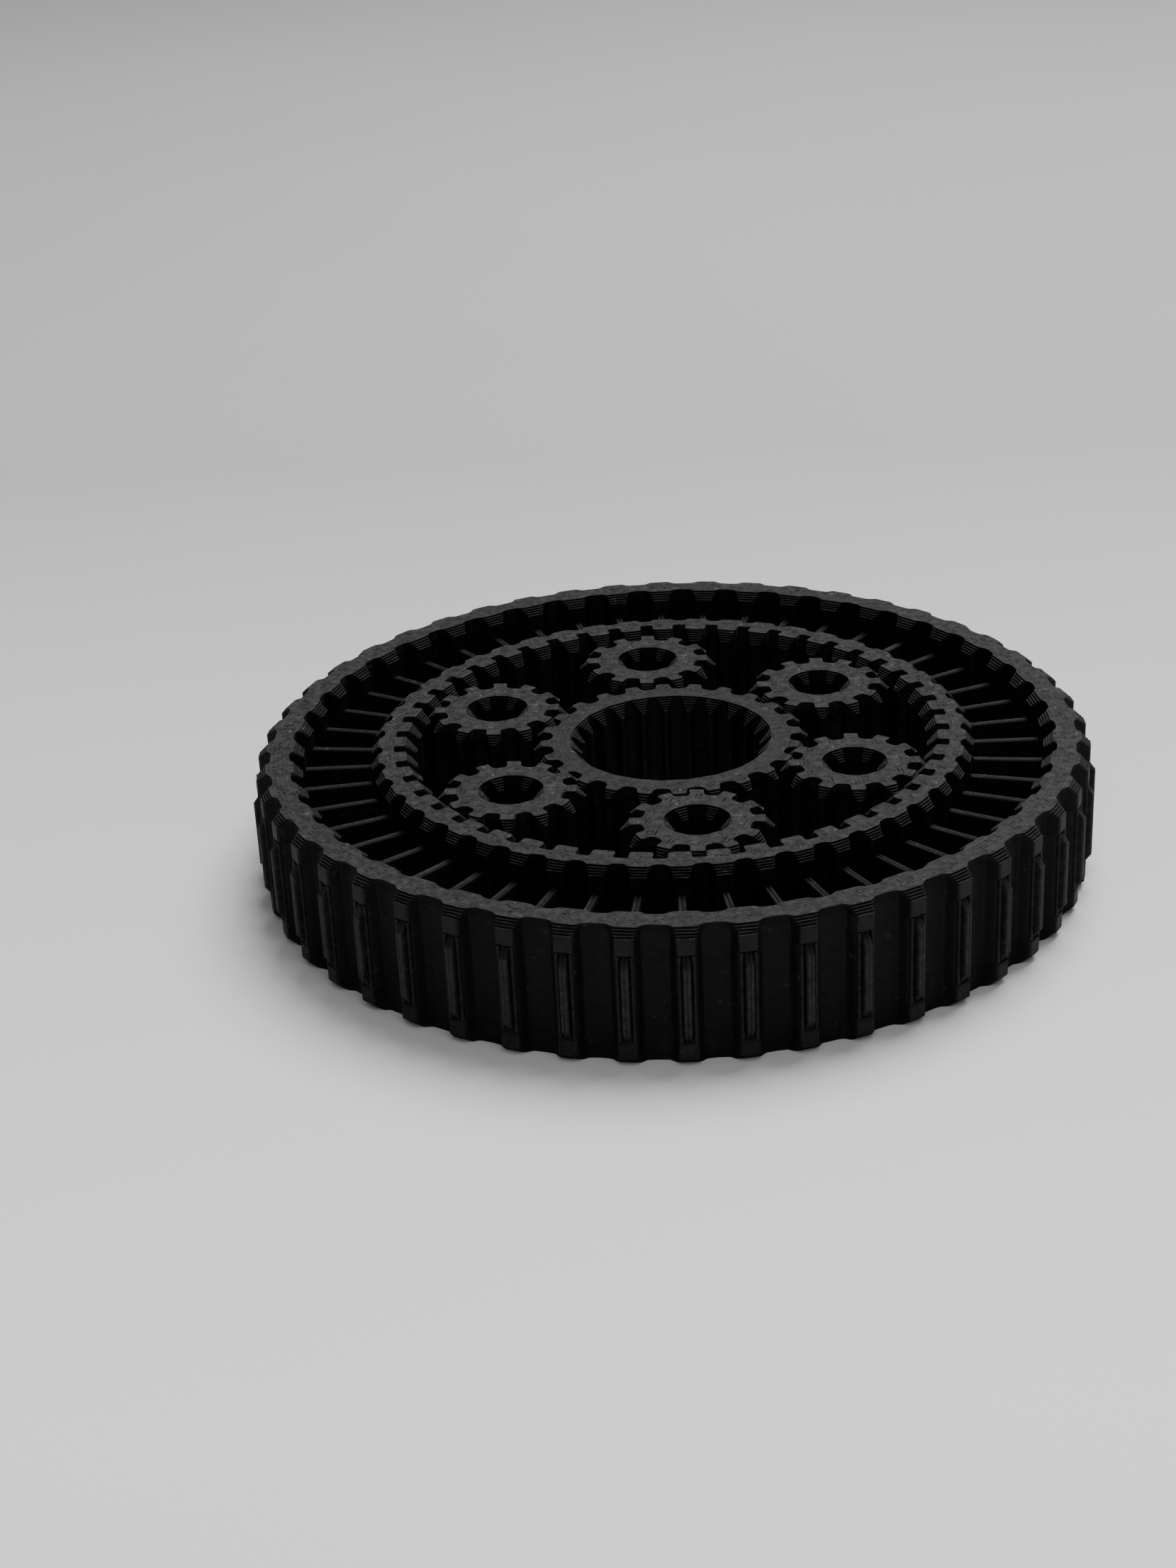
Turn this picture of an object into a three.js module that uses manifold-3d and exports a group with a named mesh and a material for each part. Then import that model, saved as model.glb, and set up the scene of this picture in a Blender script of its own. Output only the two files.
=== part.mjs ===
// Planetary gear set, 3-D printed: a spoked wheel with 48 internal teeth, six planets and a sun.
// Millimetres, +Z up. The wheel stands on z = 0, its axis is Z, and one of its posts points along -Y.
import * as THREE from 'three';
import Module from 'manifold-3d';

const wasm = await Module();
wasm.setup();

// gear train
const MODULE = 1.1;
const RING_TEETH = 48;
const SUN_TEETH = 24;
const PLANET_TEETH = 12;
const PLANETS = 6;
const PRESSURE_ANGLE = (22 * Math.PI) / 180;
const TOOTH_WIDTH = 1.40; // on the pitch circle, which leaves 0.3 mm free on each side of a tooth
const PLANET_START = 35.6; // degrees, where the first planet stands
const CENTRE = (MODULE * (SUN_TEETH + PLANET_TEETH)) / 2;

// heights
const WHEEL_HEIGHT = 14.0;
const SUN_HEIGHT = 13.3;
const PLANET_HEIGHT = 13.6;

// wheel rim posts: radius on the end faces and under the chamfer, radius between posts, half widths
const POSTS = 48;
const RIM_POST = { top: 41.4, full: 42.3, valley: 40.9, topHalf: 1.15, half: 0.85, base: 1.5 };
const RIM_BUMP = { top: 38.5, full: 37.6, valley: 38.9, topHalf: 1.2, half: 0.9, base: 1.6 };
const RIB = { radius: 42.9, root: 42.0, width: 0.75, end: 2.6, slope: 0.6 };

// ring gear inside the wheel
const RING_POST = { top: 29.95, full: 30.7, valley: 29.5, topHalf: 1.0, half: 0.75, base: 1.3 };
const RING_TOOTH = { root: 28.3, tip: 26.0, topTip: 27.0, rootHalf: 1.1 };
const SPOKE = { inner: 30.3, outer: 38.3, width: 0.8, end: 2.6 };

// sun and planets: a tooth's root, tip and top-face tip; a bore's mouth, spline crest and widths
const SUN_TOOTH = { root: 12.2, tip: 14.1, topTip: 13.4 };
const SUN_BORE = { splines: 24, mouth: 10.25, crest: 9.1, half: 0.3, base: 1.1 };
const PLANET_TOOTH = { root: 5.35, tip: 7.45, topTip: 6.6 };
const PLANET_BORE = { splines: 6, mouth: 3.25, crest: 2.25, half: 0.35, base: 0.8 };

// carrier stand-in: a plain ring low in the sun's bore that turns at the carrier's speed
const CARRIER = { outer: 7.9, inner: 6.9, low: 0.4, high: 1.0, sides: 48 };

const TURN = 2 * Math.PI;

// one repeat of a loop is a list of [offset angle, radius]; the loop is its copies around the axis
function around(count, start, repeat) {
  const loop = [];
  for (let i = 0; i < count; i++) {
    for (const [angle, radius] of repeat) {
      const a = start + (i * TURN) / count + angle;
      loop.push([radius * Math.cos(a), radius * Math.sin(a)]);
    }
  }
  return loop;
}

// a post or bump with its flat face at the given radius, sloping to `base` at the valley;
// its face is widest on the end faces of the print
function postRepeat(post, radius) {
  const foot = post.base / post.valley;
  const depth = (radius - post.top) / (post.full - post.top);
  const face = (post.topHalf + (post.half - post.topHalf) * depth) / radius;
  return [[-foot, post.valley], [-face, radius], [face, radius], [foot, post.valley]];
}

const involute = (angle) => Math.tan(angle) - angle;

// half angle of a tooth at a radius, for an external gear or for the space of an internal one
function flankAngle(teeth, width, radius) {
  const pitch = (MODULE * teeth) / 2;
  const base = pitch * Math.cos(PRESSURE_ANGLE);
  const here = Math.acos(Math.min(1, base / radius));
  return width / (2 * pitch) + involute(PRESSURE_ANGLE) - involute(here);
}

function toothRepeat(teeth, tooth, tip) {
  const middle = tooth.topTip - 0.35;
  const at = (r) => flankAngle(teeth, TOOTH_WIDTH, r);
  const radii = [tooth.root, middle, tip];
  return [...radii.map((r) => [-at(r), r]), ...radii.reverse().map((r) => [at(r), r])];
}

// an internal tooth is what is left between two spaces shaped like external teeth
function innerToothRepeat(teeth, tooth, tip) {
  const space = Math.PI * MODULE - TOOTH_WIDTH;
  const middle = tooth.topTip + 0.35;
  const at = (r) => Math.PI / teeth - flankAngle(teeth, space, r);
  const side = [[tooth.rootHalf / tooth.root, tooth.root], [at(middle), middle], [at(tip), tip]];
  return [...side.map(([a, r]) => [-a, r]), ...side.reverse()];
}

// heights of a body's four sections: bottom face, end of the lower chamfer, start of the upper, top
const sections = (height, chamfer) => [0, chamfer, height - chamfer, height];

// closed body between stacked outer and inner loops; each stack is a list of {z, loop}
function tube(outer, inner) {
  const verts = [];
  const faces = [];
  const addStack = (stack) =>
    stack.map(({ z, loop }) => {
      const first = verts.length / 3;
      loop.forEach(([x, y]) => verts.push(x, y, z));
      return { first, count: loop.length };
    });
  const skin = (rows, outward) => {
    for (let k = 0; k + 1 < rows.length; k++) {
      const n = rows[k].count;
      for (let i = 0; i < n; i++) {
        const j = (i + 1) % n;
        const [a, b] = [rows[k].first + i, rows[k].first + j];
        const [c, d] = [rows[k + 1].first + i, rows[k + 1].first + j];
        if (outward) faces.push([a, b, d], [a, d, c]);
        else faces.push([a, d, b], [a, c, d]);
      }
    }
  };
  const out = addStack(outer);
  const inn = addStack(inner);
  skin(out, true);
  skin(inn, false);
  const cap = (o, i, flip) => {
    const point = (v) => new THREE.Vector2(verts[3 * v], verts[3 * v + 1]);
    const ids = (row) => Array.from({ length: row.count }, (_, k) => row.first + k);
    const rim = ids(o);
    const hole = ids(i).reverse();
    const all = [...rim, ...hole];
    const tris = THREE.ShapeUtils.triangulateShape(rim.map(point), [hole.map(point)]);
    for (const [a, b, c] of tris) {
      faces.push(flip ? [all[a], all[c], all[b]] : [all[a], all[b], all[c]]);
    }
  };
  cap(out[0], inn[0], true);
  cap(out.at(-1), inn.at(-1), false);
  return new wasm.Manifold(new wasm.Mesh({
    numProp: 3,
    vertProperties: new Float32Array(verts),
    triVerts: new Uint32Array(faces.flat()),
  }));
}

// stack of loops whose chamfered features run from `top` on the end faces to `full` in the middle
function chamfered(height, chamfer, loopAt, top, full) {
  const [a, b, c, d] = sections(height, chamfer);
  return [
    { z: a, loop: loopAt(top) },
    { z: b, loop: loopAt(full) },
    { z: c, loop: loopAt(full) },
    { z: d, loop: loopAt(top) },
  ];
}

const chamferOf = (feature) => Math.abs(feature.full - feature.top);

function postStack(post) {
  const loopAt = (radius) => around(POSTS, 0, postRepeat(post, radius));
  return chamfered(WHEEL_HEIGHT, chamferOf(post), loopAt, post.top, post.full);
}

function boreStack(bore, start, height) {
  const loopAt = (crest) => {
    const foot = bore.base / bore.mouth;
    const face = bore.half / bore.crest;
    return around(bore.splines, start, [
      [-foot, bore.mouth], [-face, crest], [face, crest], [foot, bore.mouth],
      ...(bore.splines < 12 ? [[Math.PI / bore.splines, bore.mouth]] : []),
    ]);
  };
  return chamfered(height, bore.mouth - bore.crest, loopAt, bore.mouth, bore.crest);
}

// box-like bar along a radius, its profile given in the (radius, z) plane
function radialBar(profile, width, angle) {
  const shape = new THREE.Shape(profile.map(([r, z]) => new THREE.Vector2(r, z)));
  const geometry = new THREE.ExtrudeGeometry(shape, { depth: width, bevelEnabled: false });
  geometry.translate(0, 0, -width / 2);
  geometry.rotateX(Math.PI / 2);
  geometry.rotateZ(angle);
  return toManifold(geometry);
}

function toManifold(geometry) {
  const position = geometry.getAttribute('position');
  const ids = new Map();
  const verts = [];
  const tris = [];
  for (let i = 0; i < position.count; i++) {
    const p = [position.getX(i), position.getY(i), position.getZ(i)];
    const key = p.map((v) => Math.round(v * 1e4)).join();
    if (!ids.has(key)) {
      ids.set(key, verts.length / 3);
      verts.push(...p);
    }
    tris.push(ids.get(key));
  }
  return new wasm.Manifold(new wasm.Mesh({
    numProp: 3,
    vertProperties: new Float32Array(verts),
    triVerts: new Uint32Array(tris),
  }));
}

function toMesh(manifold, name, material) {
  const mesh = manifold.getMesh();
  const geometry = new THREE.BufferGeometry();
  const points = new Float32Array(mesh.numVert * 3);
  for (let i = 0; i < mesh.numVert; i++) {
    for (let k = 0; k < 3; k++) points[3 * i + k] = mesh.vertProperties[mesh.numProp * i + k];
  }
  geometry.setAttribute('position', new THREE.BufferAttribute(points, 3));
  geometry.setIndex(new THREE.BufferAttribute(new Uint32Array(mesh.triVerts), 1));
  geometry.computeVertexNormals();
  const out = new THREE.Mesh(geometry, material);
  out.name = name;
  return out;
}

function wheel() {
  const chamfer = RING_TOOTH.topTip - RING_TOOTH.tip;
  const teethAt = (tip) => around(RING_TEETH, 0, innerToothRepeat(RING_TEETH, RING_TOOTH, tip));
  const teeth = chamfered(WHEEL_HEIGHT, chamfer, teethAt, RING_TOOTH.topTip, RING_TOOTH.tip);
  let body = tube(postStack(RIM_POST), postStack(RIM_BUMP)).add(tube(postStack(RING_POST), teeth));
  const [low, high] = [SPOKE.end, WHEEL_HEIGHT - SPOKE.end];
  const spoke = [[SPOKE.inner, low], [SPOKE.outer, low], [SPOKE.outer, high], [SPOKE.inner, high]];
  const rib = [
    [RIB.root, RIB.end], [RIB.radius, RIB.end + RIB.slope],
    [RIB.radius, WHEEL_HEIGHT - RIB.end - RIB.slope], [RIB.root, WHEEL_HEIGHT - RIB.end],
  ];
  for (let i = 0; i < POSTS; i++) {
    const angle = (i * TURN) / POSTS;
    body = body.add(radialBar(spoke, SPOKE.width, angle)).add(radialBar(rib, RIB.width, angle));
  }
  return body;
}

// toothed wheel with a splined bore, its first tooth at `start`
function gear(teeth, tooth, bore, start, height) {
  const teethAt = (tip) => around(teeth, start, toothRepeat(teeth, tooth, tip));
  const outer = chamfered(height, tooth.tip - tooth.topTip, teethAt, tooth.topTip, tooth.tip);
  return tube(outer, boreStack(bore, start + TURN / teeth, height));
}

function carrier() {
  const rows = (radius) => [CARRIER.low, CARRIER.high].map((z) => (
    { z, loop: around(CARRIER.sides, 0, [[0, radius]]) }));
  return tube(rows(CARRIER.outer), rows(CARRIER.inner));
}

const plastic = () => new THREE.MeshStandardMaterial({ color: 0x1b1b1d, roughness: 0.6 });
const radians = (degrees) => (degrees * Math.PI) / 180;

const assembly = new THREE.Group();
assembly.name = 'planetary_gear_set';
assembly.add(toMesh(wheel(), 'wheel', plastic()));

// teeth mesh at rest when the sun's first tooth is at three times the planets' angle
const start = radians(PLANET_START);
assembly.add(toMesh(gear(SUN_TEETH, SUN_TOOTH, SUN_BORE, 3 * start, SUN_HEIGHT), 'sun', plastic()));
for (let k = 0; k < PLANETS; k++) {
  const angle = start + (k * TURN) / PLANETS;
  const phase = Math.PI / PLANET_TEETH - 3 * angle;
  const planet = gear(PLANET_TEETH, PLANET_TOOTH, PLANET_BORE, phase, PLANET_HEIGHT)
    .translate([CENTRE * Math.cos(angle), CENTRE * Math.sin(angle), 0]);
  assembly.add(toMesh(planet, `planet_${k + 1}`, plastic()));
}
assembly.add(toMesh(carrier(), 'carrier_ring', plastic()));

export default assembly;
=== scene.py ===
import math
import random

import bpy
import numpy as np
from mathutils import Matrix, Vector
from mathutils.geometry import tessellate_polygon


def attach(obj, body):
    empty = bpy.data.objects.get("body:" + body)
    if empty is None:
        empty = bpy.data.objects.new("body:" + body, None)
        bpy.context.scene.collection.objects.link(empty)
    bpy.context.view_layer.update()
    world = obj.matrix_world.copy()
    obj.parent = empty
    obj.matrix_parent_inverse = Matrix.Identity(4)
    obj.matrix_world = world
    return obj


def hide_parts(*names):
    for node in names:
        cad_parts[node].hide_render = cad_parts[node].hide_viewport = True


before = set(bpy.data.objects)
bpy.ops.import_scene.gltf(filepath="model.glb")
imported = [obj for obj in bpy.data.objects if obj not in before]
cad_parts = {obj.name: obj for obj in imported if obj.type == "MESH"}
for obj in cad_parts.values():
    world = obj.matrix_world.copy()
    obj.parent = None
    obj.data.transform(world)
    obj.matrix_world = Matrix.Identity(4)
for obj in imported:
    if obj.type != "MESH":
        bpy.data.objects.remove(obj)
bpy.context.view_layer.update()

MM = 0.001
LAYER = 0.2
TURN = 2 * math.pi

# gear train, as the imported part
MODULE, RING_TEETH, SUN_TEETH, PLANET_TEETH = 1.1, 48, 24, 12
PRESSURE_ANGLE = math.radians(22)
TOOTH_WIDTH = 1.40
PLANET_START = math.radians(35.6)
CENTRE = MODULE * (SUN_TEETH + PLANET_TEETH) / 2
WHEEL_HEIGHT, SUN_HEIGHT, PLANET_HEIGHT = 14.0, 13.3, 13.6

# posts and bumps of the wheel: radius of the face on the ends and under the chamfer, radius of the
# valley between, and half widths of the face and of its foot at both
POSTS = 48
RIM_POST = {"top": 41.4, "full": 42.3, "valley": 40.9, "halves": (1.08, 0.86), "feet": (1.65, 1.28)}
RIM_BUMP = {"top": 38.5, "full": 37.6, "valley": 38.9, "halves": (1.25, 0.9), "feet": (1.7, 1.4)}
RING_POST = {"top": 29.95, "full": 30.7, "valley": 29.5, "halves": (1.0, 0.75), "feet": (1.4, 1.1)}

# teeth: root radius, tip radius, tip radius on the end faces
RING_ROOT, RING_TIP, RING_TOP_TIP, RING_ROOT_HALF = 28.3, 26.0, 27.0, 1.1
SUN_SIZES = (12.2, 14.1, 13.4)
PLANET_SIZES = (5.35, 7.45, 6.6)
# bores: splines, radius of the mouth and of the crests, half widths of crest and foot
SUN_BORE = (24, 10.25, 9.1, 0.24, 1.1)
PLANET_BORE = (6, 3.25, 2.25, 0.35, 0.8)

# outer waist between the posts' blocks, and the ribs and spokes, which stop short of the end faces
WAIST = 42.02
INSET = 2.6
RIB_RADIUS, RIB_HALF = 42.86, 0.37
EDGE_LINE = 0.66
SPOKE_HALF = 0.4


# ---------------------------------------------------------------- outlines
def rounded(control, radius, steps):
    """Closed polygon with each corner turned into a short curve of `steps` points."""
    control = np.asarray(control, float)
    before, after = np.roll(control, 1, 0), np.roll(control, -1, 0)
    a, b = before - control, after - control
    la, lb = np.linalg.norm(a, axis=1), np.linalg.norm(b, axis=1)
    radius = np.resize(radius, len(control))
    ta, tb = np.minimum(radius, la * 0.47), np.minimum(radius, lb * 0.47)
    p0 = control + a / la[:, None] * ta[:, None]
    p2 = control + b / lb[:, None] * tb[:, None]
    t = np.linspace(0, 1, steps)[None, :, None]
    c = control[:, None]
    curve = (1 - t) ** 2 * p0[:, None] + 2 * t * (1 - t) * c + t ** 2 * p2[:, None]
    return curve.reshape(-1, 2)


def around(count, start, repeat):
    """Copies of a list of (offset angle, radius) around the axis."""
    angle = np.array([a for a, _ in repeat])
    radius = np.array([r for _, r in repeat])
    full = (start + TURN * np.arange(count)[:, None] / count + angle[None]).ravel()
    r = np.tile(radius, count)
    return np.stack([r * np.cos(full), r * np.sin(full)], 1)


def outward(loop):
    """Unit normal at each point of a counter-clockwise loop."""
    d = np.roll(loop, -1, 0) - np.roll(loop, 1, 0)
    n = np.stack([d[:, 1], -d[:, 0]], 1)
    return n / np.maximum(np.linalg.norm(n, axis=1), 1e-9)[:, None]


def involute(angle):
    return math.tan(angle) - angle


def flank(teeth, width, radius):
    pitch = MODULE * teeth / 2
    here = math.acos(min(1.0, pitch * math.cos(PRESSURE_ANGLE) / radius))
    return width / (2 * pitch) + involute(PRESSURE_ANGLE) - involute(here)


def tooth(teeth, root, tip, top_tip):
    radii = [root, top_tip - 0.35, tip]
    half = [flank(teeth, TOOTH_WIDTH, r) for r in radii]
    left = [(-h, r) for h, r in zip(half, radii)]
    return left + [(-a, r) for a, r in reversed(left)]


def inner_tooth(teeth, root, tip, top_tip, root_half):
    space = math.pi * MODULE - TOOTH_WIDTH
    radii = [top_tip + 0.35, tip]
    half = [math.pi / teeth - flank(teeth, space, r) for r in radii]
    left = [(-root_half / root, root)] + [(-h, r) for h, r in zip(half, radii)]
    return left + [(-a, r) for a, r in reversed(left)]


def post(radius, top, full, valley, halves, feet, dish=0.0):
    """A post or bump, its face at `radius`. Face and feet are widest on the end faces."""
    mid = math.pi / POSTS
    side = np.sign(full - valley)
    depth = min(max((radius - top) / (full - top), 0.0), 1.0)
    foot = (feet[0] + (feet[1] - feet[0]) * depth) / valley
    face = (halves[0] + (halves[1] - halves[0]) * depth) / radius
    left = [(-mid, valley - 0.05 * side), (-foot, valley), (-face, radius),
            (-0.58 * face, radius - dish * side)]
    return left + [(-a, r) for a, r in reversed(left[1:])]


# ---------------------------------------------------------------- printed bodies
WAVES = [(random.Random(7 + i).uniform(0.4, 3.2), random.Random(70 + i).uniform(0, TURN),
          random.Random(700 + i).uniform(0.2, 2.0), random.Random(7000 + i).uniform(0, TURN))
         for i in range(14)]


def unevenness(points, z):
    """Smooth random swelling of the printed wall, about -1 to 1."""
    total = np.zeros(len(points))
    for step, turn, rise, phase in WAVES:
        along = points[:, 0] * math.cos(turn) + points[:, 1] * math.sin(turn)
        total += np.sin(TURN * along / step + z * rise * 5 + phase)
    return total / math.sqrt(len(WAVES))


class Printed:
    """Mesh under construction, in millimetres: stacks of loops, each skinned to the next."""

    def __init__(self):
        self.verts, self.faces, self.count = [], [], 0

    def loop(self, points, z):
        n = len(points)
        z = np.full((n, 1), z) if np.isscalar(z) else np.asarray(z).reshape(n, 1)
        self.verts.append(np.hstack([points, z]))
        self.count += n
        return np.arange(self.count - n, self.count)

    def skin(self, rows, outside=True):
        for low, high in zip(rows, rows[1:]):
            a, b = low, np.roll(low, -1)
            c, d = high, np.roll(high, -1)
            quads = np.stack([a, b, d, c] if outside else [a, c, d, b], 1)
            self.faces += quads.tolist()

    def cap(self, outer, inner, up):
        """Flat face between an outer and an inner loop."""
        points = np.vstack(self.verts)
        ids = np.concatenate([outer, inner])
        polys = [[Vector(points[i]) for i in loop] for loop in (outer, inner)]
        for tri in tessellate_polygon(polys):
            tri = [int(ids[i]) for i in tri]
            p = points[tri]
            turn = np.cross(p[1] - p[0], p[2] - p[0])[2]
            if abs(turn) > 1e-9:
                self.faces.append(tri if (turn > 0) == up else tri[::-1])

    def stack(self, levels, outside=True):
        rows = [self.loop(points + outward(points) * 0.022 * unevenness(points, z)[:, None], z)
                for z, points in levels]
        self.skin(rows, outside)
        return rows

    def build(self, name, material, smooth=32):
        mesh = bpy.data.meshes.new(name)
        mesh.from_pydata((np.vstack(self.verts) * MM).tolist(), [], self.faces)
        mesh.validate()
        mesh.update()
        obj = bpy.data.objects.new(name, mesh)
        bpy.context.collection.objects.link(obj)
        mesh.materials.append(material)
        mesh.shade_smooth()
        mesh.set_sharp_from_angle(angle=math.radians(smooth))
        return obj


def stairs(height, shape, top, full, inside=False):
    """Levels of one wall: a chamfer in printed layers, the straight wall, and the chamfer again.

    shape(radius) gives the outline whose features reach that radius. Each layer is a step with a
    shallow groove under it.
    """
    n = round(abs(full - top) / LAYER)
    half = []
    for k in range(n + 1):
        bead = shape(top + (full - top) * k / n)
        groove = bead - outward(bead) * 0.035 * (-1 if inside else 1)
        half += [(k * LAYER, groove), (k * LAYER + 0.035, bead)]
        if k < n:
            half.append(((k + 1) * LAYER, groove))
    return half + [(height - z, loop) for z, loop in reversed(half)]


def ring_body(name, material, outer, inner, extra=None):
    body = Printed()
    out = body.stack(outer)
    inn = body.stack(inner, outside=False)
    body.cap(out[0], inn[0], up=False)
    body.cap(out[-1], inn[-1], up=True)
    if extra:
        extra(body)
    return body.build(name, material)


def wall(count, start, repeat, radius, steps):
    return lambda r: rounded(around(count, start, repeat(r)), radius, steps)


def bar(body, angle, rows):
    """Closed bar across the radius direction: rows of (radius, across, z) points."""
    c, s = math.cos(angle), math.sin(angle)
    loops = []
    for row in rows:
        r, a, z = np.array(row).T
        loops.append(body.loop(np.stack([r * c - a * s, r * s + a * c], 1), z))
    body.skin(loops)
    body.faces.append(loops[0][::-1].tolist())
    body.faces.append(loops[-1].tolist())


# ---------------------------------------------------------------- materials
class Nodes:
    """Short names for building a node tree."""

    def __init__(self, material):
        self.tree = material.node_tree
        self.tree.nodes.clear()

    def add(self, kind, inputs=None, **settings):
        node = self.tree.nodes.new(kind)
        for key, value in settings.items():
            setattr(node, key, value)
        for key, value in (inputs or {}).items():
            if isinstance(value, bpy.types.NodeSocket):
                self.tree.links.new(value, node.inputs[key])
            else:
                node.inputs[key].default_value = value
        return node

    def math(self, operation, a, b=0.0, clamp=False):
        return self.add("ShaderNodeMath", {0: a, 1: b}, operation=operation,
                        use_clamp=clamp).outputs[0]

    def times(self, *values):
        out = values[0]
        for value in values[1:]:
            out = self.math("MULTIPLY", out, value)
        return out

    def plus(self, *values):
        out = values[0]
        for value in values[1:]:
            out = self.math("ADD", out, value)
        return out

    def noise(self, vector, scale, detail=3.0, rough=0.55):
        return self.add("ShaderNodeTexNoise", {"Vector": vector, "Scale": scale, "Detail": detail,
                                               "Roughness": rough}).outputs["Fac"]

    def ramp(self, value, low, high, out_low=0.0, out_high=1.0):
        return self.add("ShaderNodeMapRange", {"Value": value, "From Min": low, "From Max": high,
                                               "To Min": out_low, "To Max": out_high}).outputs[0]

    def near(self, value, centre, half, soft):
        """1 where value is within `half` of centre, falling to 0 over `soft`."""
        off = self.math("ABSOLUTE", self.math("SUBTRACT", value, centre))
        return self.ramp(off, half, half + soft, 1.0, 0.0)


def plastic(name, height, slant, repeats=48, first=0.0, bands=(), crack=0.0, proud_at=None):
    """Matte black printed plastic.

    Walls show the layers. Flat tops are painted paler than the walls, a painted sheen, and show lines
    along the outline, mottling, pale specks, and short slanted gaps between the infill lines where the
    part is widest: once per repeat, in each band. The gaps, pits and split are darkened, a painted
    shade.
    Steps below the ends of a part `height` tall get less of the painted sheen than the ends themselves,
    a painted shade. `crack` is the height of a split between layers, and `proud_at` the radii between
    which a surface gets a painted highlight.
    """
    material = bpy.data.materials.new(name)
    material.use_nodes = True
    n = Nodes(material)
    coord = n.add("ShaderNodeTexCoord").outputs["Object"]
    mm = n.add("ShaderNodeVectorMath", {0: coord, 3: 1000.0}, operation="SCALE").outputs[0]
    x, y, z = n.add("ShaderNodeSeparateXYZ", {0: mm}).outputs[:3]
    radius = n.math("SQRT", n.plus(n.times(x, x), n.times(y, y)))
    turned = n.math("ARCTAN2", y, x)
    normal = n.add("ShaderNodeNewGeometry").outputs["True Normal"]
    up = n.math("ABSOLUTE", n.add("ShaderNodeSeparateXYZ", {0: normal}).outputs[2])
    flat = n.ramp(up, 0.80, 0.96)
    # 1 on the end faces, 0.42 on the steps below: less painted sheen on the steps, a painted shade
    end = n.ramp(n.math("ABSOLUTE", n.plus(z, -height / 2)), height / 2 - 0.12, height / 2 - 0.04,
                 0.42, 1.0)
    grain = n.noise(mm, 7.0, 4.0, 0.7)
    mottle = n.noise(mm, 1.3, 4.0, 0.65)
    wear = n.noise(mm, 0.35, 3.0)

    # layers round the walls, stronger in some places than in others
    waver = n.times(n.noise(mm, 0.5, 2.0), 0.12)
    layer = n.math("SINE", n.times(n.plus(z, waver), TURN / LAYER))
    beads = n.times(layer, n.ramp(mottle, 0.35, 0.7, 0.25, 1.0))
    split = n.math("MULTIPLY", n.near(n.plus(z, n.times(waver, 0.8)), crack, 0.025, 0.03),
                   n.ramp(n.noise(mm, 0.22, 2.0), 0.52, 0.56)) if crack else 0.0

    # lines along the outline, and slanted lines and gaps in the infill
    outline = n.math("SINE", n.times(n.plus(radius, n.times(mottle, 0.5)), TURN / 0.45))
    c, s = math.cos(slant), math.sin(slant)
    across = n.plus(n.times(x, c), n.times(y, s), n.times(mottle, 0.25))
    along = n.math("SUBTRACT", n.times(y, c), n.times(x, s))
    strand = n.math("SINE", n.times(across, TURN / 0.42))
    stretched = n.add("ShaderNodeCombineXYZ", {0: n.times(across, 2.4), 1: n.times(along, 1.1),
                                               2: z}).outputs[0]
    streak = n.noise(stretched, 1.0, 4.0, 0.65)
    turns = n.math("FRACT", n.plus(n.times(turned, repeats / TURN), 50.5 - first * repeats / TURN))
    window = n.near(turns, 0.5, 0.16, 0.14)
    band = 0.0
    for middle, half in bands:
        band = n.math("MAXIMUM", n.near(radius, middle, half, 0.15), band)
    gaps = n.times(window, band, n.ramp(strand, 0.1, 0.6), n.ramp(streak, 0.54, 0.58)) \
        if bands else 0.0
    pits = n.ramp(n.noise(mm, 1.7, 3.0, 0.6), 0.655, 0.69)
    holes = n.times(n.math("MAXIMUM", gaps, n.times(pits, 0.8)), flat)

    # small pale blobs and wisps of plastic
    bent = n.add("ShaderNodeVectorMath", {
        0: mm, 1: n.add("ShaderNodeTexNoise", {"Vector": mm, "Scale": 3.0}).outputs["Color"]},
        operation="ADD").outputs[0]
    cell = n.add("ShaderNodeTexVoronoi", {"Vector": bent, "Scale": 0.85})
    chance = n.add("ShaderNodeSeparateColor", {0: cell.outputs["Color"]}).outputs[0]
    size = n.ramp(chance, 0.35, 1.0, 0.0, 0.24)
    blob = n.ramp(n.math("SUBTRACT", size, cell.outputs["Distance"]), -0.02, 0.05)
    blob = n.times(blob, n.ramp(flat, 0.0, 1.0, 0.12, 1.0), n.ramp(grain, 0.35, 0.6))

    tops = n.plus(n.times(outline, 0.45), n.times(streak, 4.0), n.times(mottle, 5.0),
                  n.times(blob, 4.0))
    relief = n.add("ShaderNodeMix", {0: flat, 2: beads, 3: tops}, data_type="FLOAT").outputs[0]
    relief = n.plus(relief, n.times(grain, 1.6), n.times(holes, -4.0), n.times(split, -4.0))
    bump = n.add("ShaderNodeBump", {"Strength": 0.8, "Distance": 0.000022,
                                    "Height": relief}).outputs[0]

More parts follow.
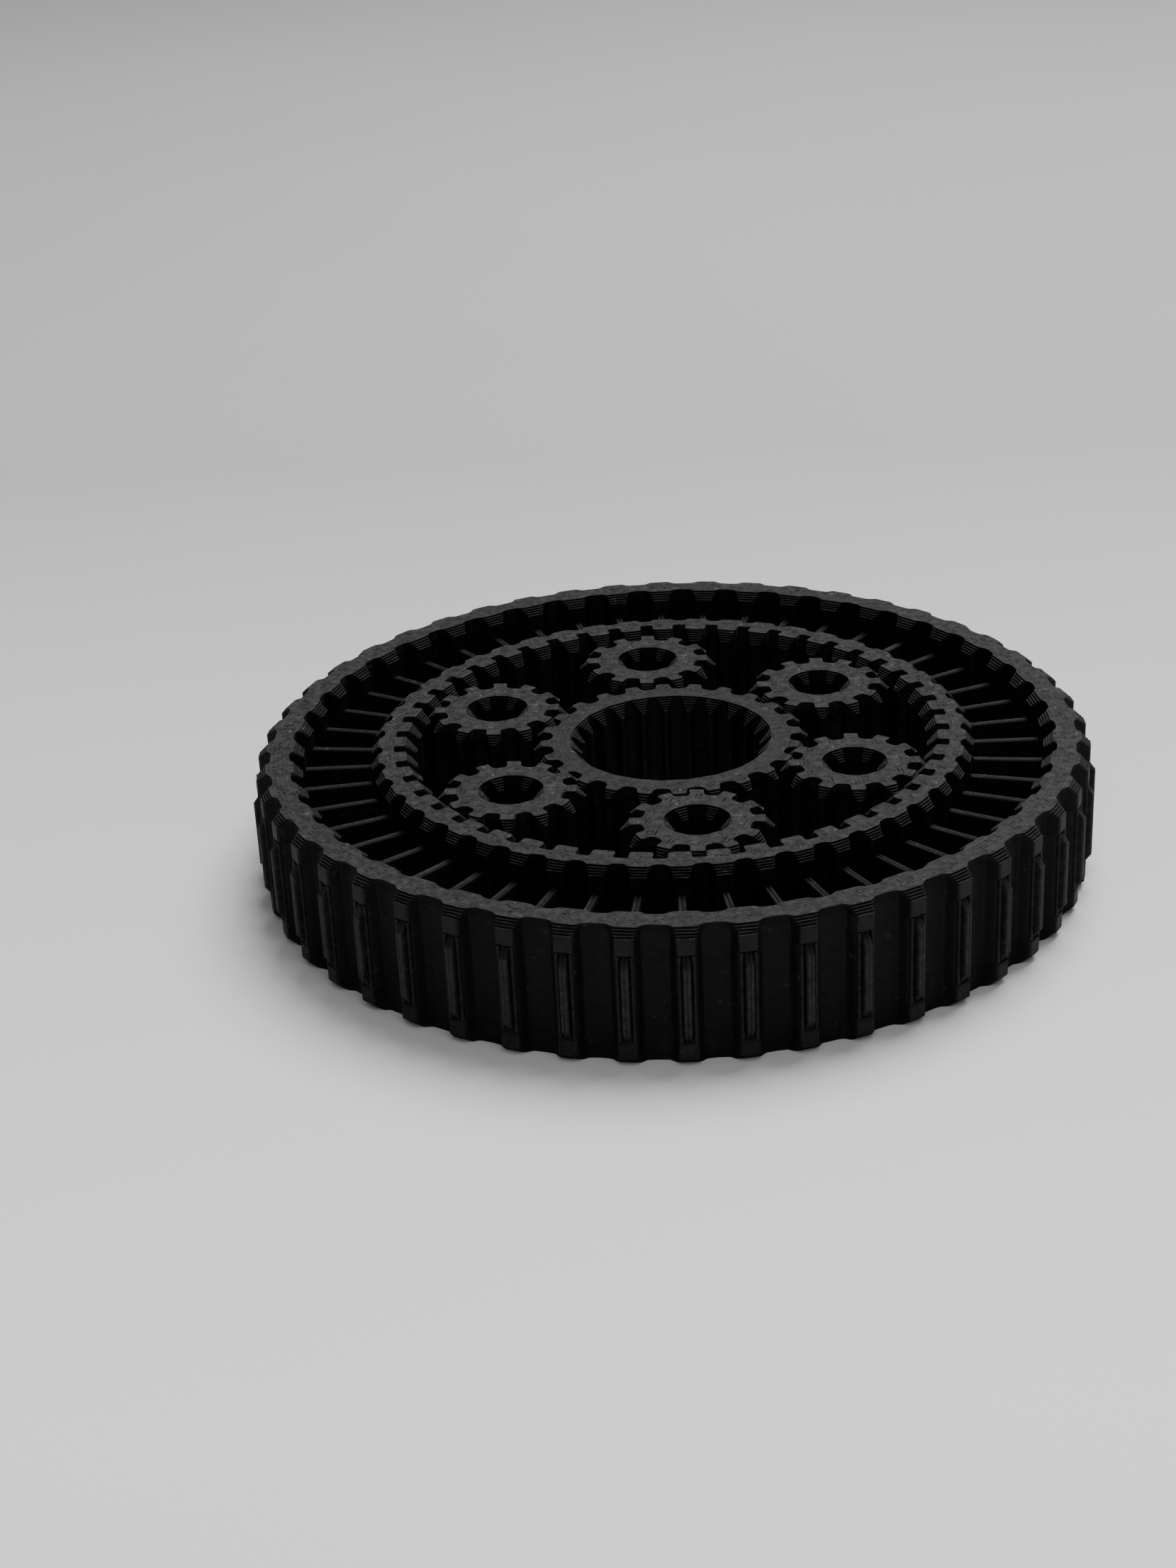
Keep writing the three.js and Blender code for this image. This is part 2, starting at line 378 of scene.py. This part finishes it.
    body = n.ramp(wear, 0.3, 0.7, 0.0018, 0.0034)
    crust = n.ramp(n.noise(mm, 3.4, 4.0, 0.75), 0.40, 0.68)
    # top colour: real mottling, streaks, grain and crust of the top skin, all lifted well above the
    # walls as a painted sheen
    skin = n.plus(n.ramp(mottle, 0.35, 0.65, 0.004, 0.022), n.ramp(streak, 0.3, 0.7, 0.0, 0.010),
                  n.ramp(grain, 0.35, 0.65, -0.005, 0.006), n.times(outline, 0.002),
                  n.times(crust, crust, 0.020))
    # painted highlight on convex edges, along the crests of the layers
    painted_edge_highlight = n.ramp(n.add("ShaderNodeNewGeometry").outputs["Pointiness"], 0.53, 0.62)
    painted_edge_highlight = n.times(painted_edge_highlight, n.ramp(layer, -0.2, 0.8), n.ramp(mottle, 0.4, 0.6), 0.018)
    steep = n.math("SUBTRACT", 1.0, flat)
    # painted highlight on proud surfaces between the proud_at radii, strongest on steep faces
    proud = n.ramp(radius, *proud_at) if proud_at else 0.0
    painted_proud_highlight = n.times(n.ramp(steep, 0.0, 1.0, 0.7, 1.0), proud, n.ramp(mottle, 0.35, 0.65, 0.45, 1.0),
                   n.ramp(grain, 0.35, 0.65, 0.5, 1.0), 0.026)
    # flat faces get the top colour with its painted sheen; the painted edge and proud highlights are
    # added on top
    value = n.plus(body, n.times(flat, end, skin), n.times(blob, 0.14), painted_edge_highlight, painted_proud_highlight)
    # painted shade: the infill gaps, pits and the split between layers are darkened
    painted_recess_shade = n.math("SUBTRACT", 1.0, n.times(n.math("MAXIMUM", holes, split), 0.93))
    value = n.times(value, painted_recess_shade)
    colour = n.add("ShaderNodeCombineColor", {0: value, 1: value,
                                              2: n.times(value, 1.03)}).outputs[0]
    rough = n.ramp(n.plus(grain, n.times(mottle, 0.6)), 0.5, 1.1, 0.50, 0.66)
    shader = n.add("ShaderNodeBsdfPrincipled", {"Base Color": colour, "Roughness": rough,
                                                "Normal": bump, "Specular IOR Level": 0.12})
    out = n.add("ShaderNodeOutputMaterial")
    n.tree.links.new(shader.outputs[0], out.inputs[0])
    return material


# ---------------------------------------------------------------- the wheel
def add_ribs(body):
    """Narrow rib of two extrusion lines down each post, its ends stepped at 45 degrees, and a
    single line along each edge of the waist."""
    ends = (INSET, WHEEL_HEIGHT - INSET)
    for i in range(POSTS):
        for mid in (-EDGE_LINE, EDGE_LINE):
            bar(body, TURN * i / POSTS, [
                [(WAIST - 0.3, mid - 0.18, z), (WAIST + 0.18, mid - 0.17, z),
                 (WAIST + 0.28, mid - 0.08, z), (WAIST + 0.28, mid + 0.08, z),
                 (WAIST + 0.18, mid + 0.17, z), (WAIST - 0.3, mid + 0.18, z)] for z in ends])
    low, proud, half = INSET, RIB_RADIUS, RIB_HALF
    levels = []
    for k in range(6):
        r = WAIST + (proud - WAIST) * (k + 0.6) / 5.6
        levels.append((low + k * LAYER, r - 0.04))
        levels.append((low + k * LAYER + 0.06, r))
        if k < 5:
            levels.append((low + (k + 1) * LAYER - 0.03, r))
    levels += [(WHEEL_HEIGHT - z, r) for z, r in reversed(levels)]
    root = WAIST - 0.6
    for i in range(POSTS):
        lean = 0.03 * math.sin(i * 2.4)
        bar(body, TURN * i / POSTS, [[(root, -half, z), (r - 0.16, -half + lean, z),
                                      (r, -half + 0.12 + lean, z), (r, -0.08 + lean, z),
                                      (r - 0.07, lean, z), (r, 0.08 + lean, z),
                                      (r, half - 0.12 + lean, z), (r - 0.16, half + lean, z),
                                      (root, half, z)] for z, r in levels])


def rim_levels():
    """Outer wall of the rim, with the dished waist that the ribs stand in."""
    def shape(r, dish=0.0):
        post_at = post(r, **RIM_POST, dish=dish)
        soft = 0.25 + 0.5 * max(0.0, RIM_POST["full"] - r) if r > WAIST + 0.2 else 0.25
        return rounded(around(POSTS, 0, post_at),
                       (0.8, soft, 0.2 + 0.4 * soft, 0.15, 0.15, 0.2 + 0.4 * soft, soft), 4)
    levels = stairs(WHEEL_HEIGHT, shape, RIM_POST["top"], RIM_POST["full"])
    ends = [(2.42, shape(RIM_POST["full"])), (2.5, shape(42.26, 0.06)), (2.62, shape(WAIST + 0.06, 0.1)),
            (2.75, shape(WAIST + 0.02, 0.14))]
    middle = ends + [(WHEEL_HEIGHT - z, loop) for z, loop in reversed(ends)]
    half = len(levels) // 2
    return levels[:half] + middle + levels[half:]


def make_rim(material):
    bump = wall(POSTS, 0, lambda r: post(r, **RIM_BUMP),
                (0.9, 0.5, 0.3, 0.2, 0.2, 0.3, 0.5), 3)
    return ring_body("rim", material, rim_levels(),
                     stairs(WHEEL_HEIGHT, bump, RIM_BUMP["top"], RIM_BUMP["full"], inside=True),
                     add_ribs)


def make_ring(material):
    outer = wall(POSTS, 0, lambda r: post(r, **RING_POST),
                 (0.6, 0.45, 0.25, 0.2, 0.2, 0.25, 0.45), 4)
    teeth = wall(RING_TEETH, 0,
                 lambda r: inner_tooth(RING_TEETH, RING_ROOT, r, RING_TOP_TIP, RING_ROOT_HALF),
                 (0.35, 0.3, 0.25, 0.25, 0.3, 0.35), 4)
    return ring_body("ring_gear", material,
                     stairs(WHEEL_HEIGHT, outer, RING_POST["top"], RING_POST["full"]),
                     stairs(WHEEL_HEIGHT, teeth, RING_TOP_TIP, RING_TIP, inside=True))


def make_spokes(material):
    """Thin walls two extrusion lines wide, so each has a groove along its top."""
    body = Printed()
    low, high, half = INSET, WHEEL_HEIGHT - INSET, SPOKE_HALF
    section = [(-half, low + 0.06), (-half + 0.1, low), (half - 0.1, low), (half, low + 0.06),
               (half, high - 0.1), (half - 0.12, high), (0.12, high), (0, high - 0.07),
               (-0.12, high), (-half + 0.12, high), (-half, high - 0.1)]
    for i in range(POSTS):
        bow = 0.05 * math.sin(i * 1.7)
        bar(body, TURN * i / POSTS, [[(r, a + bow * w, z) for a, z in section]
                                     for r, w in ((30.2, 0), (32.5, 0.8), (34.5, 1), (36.5, 0.6),
                                                  (38.1, 0))])
    return body.build("spokes", material)


# ---------------------------------------------------------------- sun, planets, carrier ring
def bore(splines, mouth, crest, half, base):
    """A spline is widest at the mouth of the countersink and narrow at its crest."""
    def repeat(r):
        share = (r - crest) / (mouth - crest)
        foot = (half + 0.12 + (base - half - 0.12) * share) / mouth
        face = (half + (0.85 * base - half) * share) / r
        left = [(-math.pi / splines, mouth + 0.02), (-foot, mouth), (-face, r)]
        return left + [(-a, r) for a, r in reversed(left[1:])]
    return repeat


def make_gear(name, material, teeth, sizes, splines, start, height):
    root, tip, top_tip = sizes
    steps = 4 if teeth > 20 else 6
    outer = wall(teeth, start, lambda r: tooth(teeth, root, r, top_tip),
                 (0.55, 0.45, 0.42, 0.42, 0.45, 0.55), steps)
    count, mouth, crest = splines[:3]
    inner = wall(count, start + TURN / teeth, bore(*splines),
                 (0.4, 0.2, 0.14, 0.14, 0.2) if count < 12 else (0.2, 0.15, 0.1, 0.1, 0.15), steps)
    return ring_body(name, material, stairs(height, outer, top_tip, tip),
                     stairs(height, inner, mouth, crest, inside=True))


def place(obj, body, *nodes):
    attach(obj, body)
    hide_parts(*nodes)


wheel_plastic = plastic("wheel_plastic", WHEEL_HEIGHT, math.radians(35), 48, 0.0,
                        ((39.95, 0.62), (28.55, 0.6)), crack=2.3, proud_at=(42.0, 42.85))
place(make_rim(wheel_plastic), "wheel", "wheel")
for part in (make_ring(wheel_plastic), make_spokes(wheel_plastic)):
    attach(part, "wheel")

sun_plastic = plastic("sun_plastic", SUN_HEIGHT, math.radians(-40), SUN_TEETH, 3 * PLANET_START,
                      ((12.2, 0.5),))
place(make_gear("sun_gear", sun_plastic, SUN_TEETH, SUN_SIZES, SUN_BORE, 3 * PLANET_START,
                SUN_HEIGHT), "sun", "sun")

for k in range(6):
    angle = PLANET_START + TURN * k / 6
    phase = math.pi / PLANET_TEETH - 3 * angle
    planet_plastic = plastic(f"planet_{k + 1}_plastic", PLANET_HEIGHT, math.radians(60 + 25 * k),
                             PLANET_TEETH, phase, ((5.0, 0.5),))
    gear = make_gear(f"planet_gear_{k + 1}", planet_plastic, PLANET_TEETH, PLANET_SIZES,
                     PLANET_BORE, phase, PLANET_HEIGHT)
    gear.location = Vector((CENTRE * math.cos(angle), CENTRE * math.sin(angle), 0)) * MM
    place(gear, f"planet_{k + 1}", f"planet_{k + 1}")


def make_band(material):
    """Plain ring low in the sun's bore, the stand-in for the carrier."""
    body = Printed()

    def rows(radius, side):
        return [(z, around(96, 0, [(0, radius - side * inset)]))
                for z, inset in ((0.4, 0.06), (0.46, 0), (0.94, 0), (1.0, 0.06))]
    out = body.stack(rows(7.88, 1))
    inn = body.stack(rows(6.92, -1), outside=False)
    body.cap(out[0], inn[0], up=False)
    body.cap(out[-1], inn[-1], up=True)
    return body.build("carrier_band", material)


place(make_band(sun_plastic), "carrier", "carrier_ring")


# ---------------------------------------------------------------- floor, light, camera
def floor_material():
    material = bpy.data.materials.new("backdrop_paper")
    material.use_nodes = True
    n = Nodes(material)
    coord = n.add("ShaderNodeTexCoord").outputs["Object"]
    depth = n.add("ShaderNodeSeparateXYZ", {0: coord}).outputs[1]
    # paper grain at random, and a painted light falloff: paler in front, darker towards the back
    paper_grain_and_painted_falloff = n.plus(n.ramp(n.noise(coord, 6.0, 3.0), 0.3, 0.7, -0.012, 0.012),
                  n.ramp(depth, -0.09, 0.13, 0.93, 0.47))
    colour = n.add("ShaderNodeCombineColor", {0: paper_grain_and_painted_falloff, 1: paper_grain_and_painted_falloff, 2: paper_grain_and_painted_falloff}).outputs[0]
    shader = n.add("ShaderNodeBsdfPrincipled", {"Base Color": colour, "Roughness": 0.9,
                                                "Specular IOR Level": 0.1})
    out = n.add("ShaderNodeOutputMaterial")
    n.tree.links.new(shader.outputs[0], out.inputs[0])
    return material


def make_floor():
    """Paper sweep: flat under the part, curving up behind it."""
    profile = [(-1.2, 0.0), (0.9, 0.0)]
    profile += [(0.9 + 0.5 * math.sin(t), 0.5 - 0.5 * math.cos(t))
                for t in np.linspace(0.05, math.pi / 2, 16)]
    profile.append((1.4, 3.0))
    verts = [(x, y, z) for y, z in profile for x in (-3.0, 3.0)]
    faces = [(2 * i, 2 * i + 1, 2 * i + 3, 2 * i + 2) for i in range(len(profile) - 1)]
    mesh = bpy.data.meshes.new("floor")
    mesh.from_pydata(verts, [], faces)
    mesh.materials.append(floor_material())
    mesh.shade_smooth()
    obj = bpy.data.objects.new("floor", mesh)
    bpy.context.collection.objects.link(obj)


make_floor()


def area_light(name, location, target, size, power):
    data = bpy.data.lights.new(name, "AREA")
    data.shape, data.size, data.energy = "DISK", size, power
    obj = bpy.data.objects.new(name, data)
    bpy.context.collection.objects.link(obj)
    obj.location = location
    direction = Vector(target) - Vector(location)
    obj.rotation_euler = direction.to_track_quat("-Z", "Y").to_euler()


area_light("key", (0.18, 0.28, 0.69), (0.01, -0.05, 0), 0.54, 8.4)
area_light("fill", (0.05, -0.50, 0.60), (0, -0.05, 0), 0.60, 1.3)

world = bpy.data.worlds.new("studio")
world.use_nodes = True
world.node_tree.nodes["Background"].inputs[0].default_value = (1, 1, 1, 1)
world.node_tree.nodes["Background"].inputs[1].default_value = 0.21
bpy.context.scene.world = world


def make_camera(location, rotation, lens):
    """Camera at a place in millimetres, turned by angles in degrees."""
    data = bpy.data.cameras.new("camera")
    data.lens, data.sensor_width = lens, 36.0
    data.clip_start, data.clip_end = 0.01, 20
    obj = bpy.data.objects.new("camera", data)
    bpy.context.collection.objects.link(obj)
    obj.location = Vector(location) * MM
    obj.rotation_euler = [math.radians(angle) for angle in rotation]
    bpy.context.scene.camera = obj


make_camera((-4.1825, -241.8727, 125.3364), (64.15277, 2.53828, -0.15904), 59.75)
